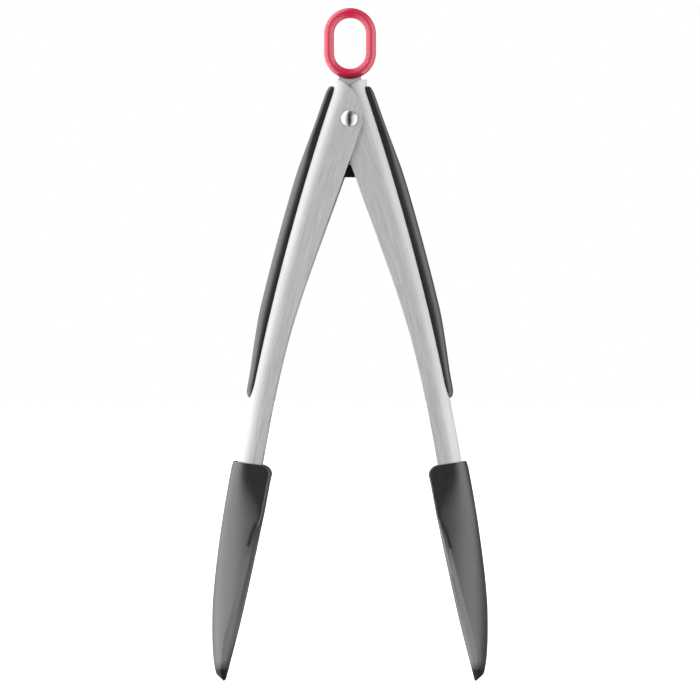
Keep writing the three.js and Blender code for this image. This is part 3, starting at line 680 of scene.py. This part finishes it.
def dome_rows(facing):
    rise = HEAD_HEIGHT - 0.25
    sphere = (HEAD_RADIUS ** 2 + rise ** 2) / (2 * rise)
    rows = [(0.0001, facing * (RIVET_SEAT + HEAD_HEIGHT))]
    for k in range(1, DOME + 1):
        radius = HEAD_RADIUS * math.sin(k / DOME * math.pi / 2)
        dome = HEAD_HEIGHT - sphere + math.sqrt(sphere ** 2 - radius ** 2)
        rows.append((radius, facing * (RIVET_SEAT + dome)))
    rows.append((HEAD_RADIUS, facing * (RIVET_SEAT + 0.1)))
    rows.append((HEAD_RADIUS - 0.1, facing * RIVET_SEAT))
    return rows


material, nodes, links, shader = finish("polished_steel", (0.8, 0.8, 0.805), 0.25, 1.0)
haze = pattern(nodes, links, 420, detail=3)
links.new(ranged(nodes, links, haze, 0.2, 0.32), shader.inputs["Roughness"])
links.new(tinted(nodes, links, haze, (0.62, 0.625, 0.63), (0.76, 0.76, 0.765)), shader.inputs["Base Color"])
rings = pattern(nodes, links, 900, (1, 0.1, 1), detail=2)
bumped(nodes, links, shader, rings, 0.3, 0.00005)
polished = material
SHANK_END, CAP_DEPTH = 0.7, 0.9
rivet = turned("domed_rivet", dome_rows(-1) + [
    (SHANK, -RIVET_SEAT), (SHANK, RIVET_SEAT + SHANK_END), (0.0001, RIVET_SEAT + SHANK_END)])
cap = turned("domed_cap", dome_rows(1) + [
    (RIVET_HOLE, RIVET_SEAT), (RIVET_HOLE, RIVET_SEAT + CAP_DEPTH), (0.0001, RIVET_SEAT + CAP_DEPTH)])
for piece, node in ((rivet, "pivot_rivet"), (cap, "rivet_cap")):
    rounded(piece, 0.08, 2, 50)
    dress(piece, polished)
    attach(piece, "pivot")
    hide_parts(node)

# ---- Spring -------------------------------------------------------------------------------------
# A torsion spring of 1.6 mm wire on the rivet's sleeve, built as two halves. Each leg bears on the web of
# one arm.
WIRE, COIL, TURNS, FOOT_DROP, FOOT_STANDOFF = 0.8, 4.2, 2, 26.0, 1.7
COIL_FRONT, COIL_BACK = 2.8, 7.1
FOOT_X = web_at(FOOT_DROP) - SHEET - WIRE - FOOT_STANDOFF


def spring_half(name, mirror):
    lean = math.atan2(-FOOT_DROP, FOOT_X) + math.acos(COIL / math.hypot(FOOT_X, FOOT_DROP))
    whole = TURNS * 2 * math.pi + math.pi - 2 * lean
    path = []
    for k in range(12):
        t = k / 12
        path.append((mix(FOOT_X, COIL * math.cos(lean), t), mix(-FOOT_DROP, COIL * math.sin(lean), t), 0.0))
    for k in range(61):
        angle = lean + whole / 2 * k / 60
        path.append((COIL * math.cos(angle), COIL * math.sin(angle), k / 120))
    bpy.ops.object.select_all(action="DESELECT")
    bpy.ops.curve.primitive_nurbs_path_add()
    curve = bpy.context.object
    curve.name = name
    data = curve.data
    data.splines.clear()
    spline = data.splines.new("POLY")
    spline.points.add(len(path) - 1)
    for point, (x, up, share) in zip(spline.points, path):
        y = mix(COIL_BACK, COIL_FRONT, share) if mirror else mix(COIL_FRONT, COIL_BACK, share)
        place = put(-x if mirror else x, y, -up)
        point.co = (*place, 1)
    data.bevel_depth = WIRE * MM
    data.bevel_resolution = 4
    data.use_fill_caps = True
    bpy.ops.object.convert(target="MESH")
    piece = bpy.context.object
    piece.data.name = name
    close_seams(piece, fill=False)
    settle(piece)
    bpy.ops.object.shade_smooth_by_angle(angle=math.radians(50))
    return piece


material, nodes, links, shader = finish("spring_wire", (0.5, 0.5, 0.51), 0.3, 1.0)
drawn = pattern(nodes, links, 1300, (1, 1, 1), detail=3)
tint = tinted(nodes, links, drawn, (0.40, 0.405, 0.41), (0.62, 0.62, 0.62))
links.new(tint, shader.inputs["Base Color"])
links.new(ranged(nodes, links, drawn, 0.2, 0.38), shader.inputs["Roughness"])
bumped(nodes, links, shader, drawn, 0.15, 0.00002)
for side, mirror in (("right", False), ("left", True)):
    leg = spring_half(f"{side}_spring_half", mirror)
    dress(leg, material)
    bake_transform(leg)
    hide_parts("torsion_spring")

# ---- Pull ring ----------------------------------------------------------------------------------
# A glossy red plastic loop moulded on the strip. Its outer side is full and rounded, with a crease
# and a narrow bevel towards the hole.
RING_OUTER, RING_STRAIGHT, RING_BOTTOM, RING_BAND, RING_HALF = 11.6, 8.4, 18.1, 4.4, 3.0
RING_ROWS = [(0, 0), (0, 0.7)] + [
    (2.45 * (1 - math.cos(k / 9 * math.pi / 2)), 0.7 + (RING_HALF - 0.7) * math.sin(k / 9 * math.pi / 2))
    for k in range(1, 10)] + [
    (2.6, RING_HALF - 0.1), (2.72, RING_HALF - 0.32), (3.3, RING_HALF - 0.55), (3.95, RING_HALF - 0.95),
    (4.25, RING_HALF - 1.25), (RING_BAND, RING_HALF - 1.7), (RING_BAND, 0)]
RING_SECTION = RING_ROWS + [(q, -y) for q, y in reversed(RING_ROWS[1:-1])]
RING_TURN, RING_SIDE = 48, 6


def ring_point(i, j):
    inward, y = RING_SECTION[i % len(RING_SECTION)]
    total = 2 * (RING_TURN + RING_SIDE)
    k = j % total
    radius = RING_OUTER - inward
    low = RING_BOTTOM + RING_OUTER
    high = low + RING_STRAIGHT
    if k <= RING_TURN:
        angle = math.pi * k / RING_TURN
        return put(radius * math.cos(angle), y, -(high + radius * math.sin(angle)))
    if k < RING_TURN + RING_SIDE:
        return put(-radius, y, -mix(high, low, (k - RING_TURN) / RING_SIDE))
    if k <= 2 * RING_TURN + RING_SIDE:
        angle = math.pi + math.pi * (k - RING_TURN - RING_SIDE) / RING_TURN
        return put(radius * math.cos(angle), y, -(low + radius * math.sin(angle)))
    return put(radius, y, -mix(low, high, (k - 2 * RING_TURN - RING_SIDE) / RING_SIDE))


ring = formed_grid("red_pull_ring", len(RING_SECTION), 2 * (RING_TURN + RING_SIDE), ring_point,
                   closed=True)
bpy.ops.object.shade_smooth_by_angle(angle=math.radians(28))
material, nodes, links, shader = finish(
    "glossy_red", (0.9, 0.02, 0.1), 0.3, IOR=1.9, Coat_Weight=0.3, Coat_Roughness=0.1)
cloud = pattern(nodes, links, 70, detail=3)
tint = tinted(nodes, links, cloud, (0.86, 0.014, 0.08), (0.94, 0.022, 0.10))
links.new(tint, shader.inputs["Base Color"])
flow = pattern(nodes, links, 260, detail=2)
links.new(ranged(nodes, links, flow, 0.24, 0.32), shader.inputs["Roughness"])
bumped(nodes, links, shader, flow, 0.03, 0.00002)
dress(ring, material)
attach(ring, "lock_slider")
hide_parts("pull_ring")

# ---- Lock strip and block -----------------------------------------------------------------------
# A slotted steel strip runs from the ring down between the arms. Its tail is pinned in a moulded
# nylon block whose two fingers hook behind the arms' catches.
STRIP_HALF_THICK, TAIL_HALF, STRIP_END, SLEEVE, TRAVEL = 0.6, 3.2, 22.0, 3.1, 6.0
SLIDE_GAP, SHOULDER_RISE = 0.2, 1.8
PIN_HOLE, PIN_DROP = 1.3, 19
STRIP_HALF = (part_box("lock_strip")[1][0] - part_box("lock_strip")[0][0]) / 2 / MM
STRIP_TOP = (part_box("lock_strip")[1][2] - PIVOT.z) / MM


def plate(name, outline, front, back):
    """A flat outline of (x, up) points, filled and given its thickness."""
    bpy.ops.object.select_all(action="DESELECT")
    bpy.ops.mesh.primitive_circle_add(vertices=len(outline), radius=1, fill_type="NGON")
    piece = bpy.context.object
    piece.name = piece.data.name = name
    for corner, (x, up) in zip(piece.data.vertices, outline):
        corner.co = put(x, front, -up)
    bpy.ops.object.mode_set(mode="EDIT")
    bpy.ops.mesh.select_all(action="SELECT")
    bpy.ops.mesh.extrude_region_move(TRANSFORM_OT_translate={"value": (0, (back - front) * MM, 0)})
    bpy.ops.mesh.select_all(action="SELECT")
    bpy.ops.mesh.normals_make_consistent(inside=False)
    bpy.ops.object.mode_set(mode="OBJECT")
    return piece


shoulder = -(TRAVEL + SLEEVE + SLIDE_GAP + SHOULDER_RISE)
strip = plate("slotted_strip", [
    (-TAIL_HALF, -STRIP_END), (TAIL_HALF, -STRIP_END), (TAIL_HALF, shoulder),
    (STRIP_HALF, shoulder + SHOULDER_RISE), (STRIP_HALF, STRIP_TOP), (-STRIP_HALF, STRIP_TOP),
    (-STRIP_HALF, shoulder + SHOULDER_RISE), (-TAIL_HALF, shoulder)],
    -STRIP_HALF_THICK, STRIP_HALF_THICK)
slot_half = SLEEVE + SLIDE_GAP
slot_outline = [(slot_half * math.cos(math.pi * k / 24), slot_half * math.sin(math.pi * k / 24))
                for k in range(25)]
slot_outline += [(-x, -TRAVEL - up) for x, up in slot_outline]
cut(strip, plate("slot", slot_outline, -3, 3))
cut(strip, bar(PIN_HOLE, put(0, -3, PIN_DROP), put(0, 3, PIN_DROP), 32))
rounded(strip, 0.12, 2, 40)
material, nodes, links, shader = finish(
    "strip_steel", (0.7, 0.705, 0.71), 0.5, 1.0, Anisotropic=0.9, Anisotropic_Rotation=0.25)
brushed_along(nodes, links, shader, 0.0)
streaks = pattern(nodes, links, 1.0, (2600, 2600, 60), detail=4)
tint = tinted(nodes, links, streaks, (0.62, 0.625, 0.63), (0.76, 0.76, 0.765))
links.new(tint, shader.inputs["Base Color"])
links.new(ranged(nodes, links, streaks, 0.44, 0.58), shader.inputs["Roughness"])
bumped(nodes, links, shader, streaks, 0.2, 0.00003)
dress(strip, material)
inner_steel = material
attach(strip, "lock_slider")
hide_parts("lock_strip")

BLOCK_BOTTOM, BLOCK_FLOOR, FINGER_TOP, POST_TOP, POST_HALF = 25.9, 23.4, 18.6, 13.0, 4.6
FINGER_IN, FINGER_OUT, CHAMFER = 7.7, 8.7, 0.8
right_half = [
    (0, -BLOCK_BOTTOM), (FINGER_OUT - CHAMFER, -BLOCK_BOTTOM), (FINGER_OUT, -BLOCK_BOTTOM + CHAMFER),
    (FINGER_OUT, -FINGER_TOP), (FINGER_IN, -FINGER_TOP), (FINGER_IN, -BLOCK_FLOOR),
    (POST_HALF, -BLOCK_FLOOR), (POST_HALF, -POST_TOP)]
BLOCK_FRONT, BLOCK_BACK = -4, 1.5
left_half = [(-x, up) for x, up in reversed(right_half[1:])]
block = plate("moulded_block", right_half + left_half, BLOCK_FRONT, BLOCK_BACK)
cut(block, bar(PIN_HOLE, put(0, -5, PIN_DROP), put(0, 3, PIN_DROP), 32))
tail_half, tail_end, tail_half_thick = TAIL_HALF + SLIDE_GAP, STRIP_END + SLIDE_GAP, 0.75
cut(block, plate("tail_slot", [
    (-tail_half, -tail_end), (tail_half, -tail_end), (tail_half, 0), (-tail_half, 0)],
    -tail_half_thick, tail_half_thick))
rounded(block, 0.3, 3, 40)
material, nodes, links, shader = finish("black_nylon", (0.012, 0.012, 0.013), 0.45)
grain = pattern(nodes, links, 1500, detail=4)
tint = tinted(nodes, links, grain, (0.009, 0.009, 0.010), (0.02, 0.02, 0.021))
links.new(tint, shader.inputs["Base Color"])
links.new(ranged(nodes, links, grain, 0.36, 0.54), shader.inputs["Roughness"])
bumped(nodes, links, shader, grain, 0.3, 0.00004)
dress(block, material)
nylon = material
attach(block, "lock_slider")
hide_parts("lock_block")

# ---- Small inner parts --------------------------------------------------------------------------
# The sleeve, washers, pin, catches, cores and core rivets sit inside. They keep the shapes of the
# model and take the finishes of turned steel, stamped steel and moulded nylon.
for node, finish_of in (
        ("spacer_sleeve", inner_steel), ("block_pin", inner_steel), ("front_washer", nylon),
        ("back_washer", nylon), ("left_lock_catch", inner_steel), ("right_lock_catch", inner_steel),
        ("left_head_core", nylon), ("right_head_core", nylon), ("left_core_rivet", inner_steel),
        ("right_core_rivet", inner_steel)):
    dress(frame["nodes"][node], finish_of)

# ---- Floor, light and camera --------------------------------------------------------------------
# A pale floor under the hanging tongs, and a dim room with a tall soft box on either side of the
# camera. The boxes are brightness in the world by direction, so there are no lamps.
bpy.ops.object.select_all(action="DESELECT")
FLOOR_GAP = 0.03
bpy.ops.mesh.primitive_plane_add(size=40, location=(0, 0, cad_box[0][2] - FLOOR_GAP))
floor = bpy.context.object
floor.name = "floor"
floor.visible_glossy = floor.visible_diffuse = False
material, nodes, links, shader = finish("pale_floor", (0.72, 0.72, 0.72), 0.9)
shader.inputs["Emission Color"].default_value = (1, 1, 1, 1)
links.new(nodes.new("ShaderNodeLightPath").outputs["Is Camera Ray"], shader.inputs["Emission Strength"])
floor.data.materials.append(material)

world = bpy.data.worlds.new("studio")
bpy.context.scene.world = world
world.use_nodes = True
nodes, links = world.node_tree.nodes, world.node_tree.links


def fade(source, start, end, low, high):
    """A smooth change from low to high as the source goes from start to end."""
    ramp = nodes.new("ShaderNodeMapRange")
    ramp.interpolation_type = "SMOOTHSTEP"
    for socket, value in (("From Min", start), ("From Max", end), ("To Min", low), ("To Max", high)):
        ramp.inputs[socket].default_value = value
    links.new(source, ramp.inputs["Value"])
    return ramp.outputs["Result"]


direction = nodes.new("ShaderNodeTexCoord").outputs["Generated"]
split = nodes.new("ShaderNodeSeparateXYZ")
links.new(direction, split.inputs["Vector"])
turn = math_node(nodes, links, "ARCTAN2", split.outputs["X"],
                 math_node(nodes, links, "MULTIPLY", split.outputs["Y"], -1.0))
height = split.outputs["Z"]
LEFT_GLOW, RIGHT_GLOW, DIM_GLOW = 1.9, 1.45, 0.02
left_box = math_node(
    nodes, links, "MULTIPLY",
    fade(turn, math.radians(-64), math.radians(-6), LEFT_GLOW, 0.0),
    fade(turn, math.radians(-170), math.radians(-120), 0.12, 1.0))
right_box = math_node(
    nodes, links, "MULTIPLY",
    fade(turn, math.radians(4), math.radians(56), 0.0, RIGHT_GLOW),
    fade(turn, math.radians(85), math.radians(145), 1.0, 0.08))
tall = fade(height, -0.9, -0.5, 0.5, 1.0)
from_middle = math_node(nodes, links, "ABSOLUTE", math_node(nodes, links, "ADD", height, 0.2))
low = fade(from_middle, 0.6, 0.9, 1.0, 0.3)
boxes = math_node(nodes, links, "ADD", math_node(nodes, links, "MULTIPLY", left_box, tall),
                  math_node(nodes, links, "MULTIPLY", right_box, low))
glow = math_node(nodes, links, "ADD", boxes, DIM_GLOW)
backdrop = nodes.new("ShaderNodeMix")
backdrop.data_type = "FLOAT"
links.new(nodes.new("ShaderNodeLightPath").outputs["Is Camera Ray"], backdrop.inputs["Factor"])
links.new(glow, backdrop.inputs["A"])
backdrop.inputs["B"].default_value = 1.0
background = nodes["Background"]
background.inputs["Color"].default_value = (1, 1, 1, 1)
links.new(backdrop.outputs["Result"], background.inputs["Strength"])

CAMERA_DISTANCE = 3.0
VIEW_SPAN = 0.3126
SENSOR = 36
AZIMUTH = math.radians(1.5)
LOOK_AT_DROP = 103.0
target = put(0, 0, LOOK_AT_DROP)
camera_data = bpy.data.cameras.new("camera")
camera = bpy.data.objects.new("camera", camera_data)
bpy.context.scene.collection.objects.link(camera)
camera_data.sensor_width = SENSOR
camera_data.lens = SENSOR * CAMERA_DISTANCE / VIEW_SPAN
camera_data.clip_start = 0.01
camera.location = target + Vector((math.sin(AZIMUTH), -math.cos(AZIMUTH), 0)) * CAMERA_DISTANCE
camera.rotation_euler = (math.pi / 2, 0, AZIMUTH)
bpy.context.scene.camera = camera
bpy.context.scene.view_settings.view_transform = "Standard"
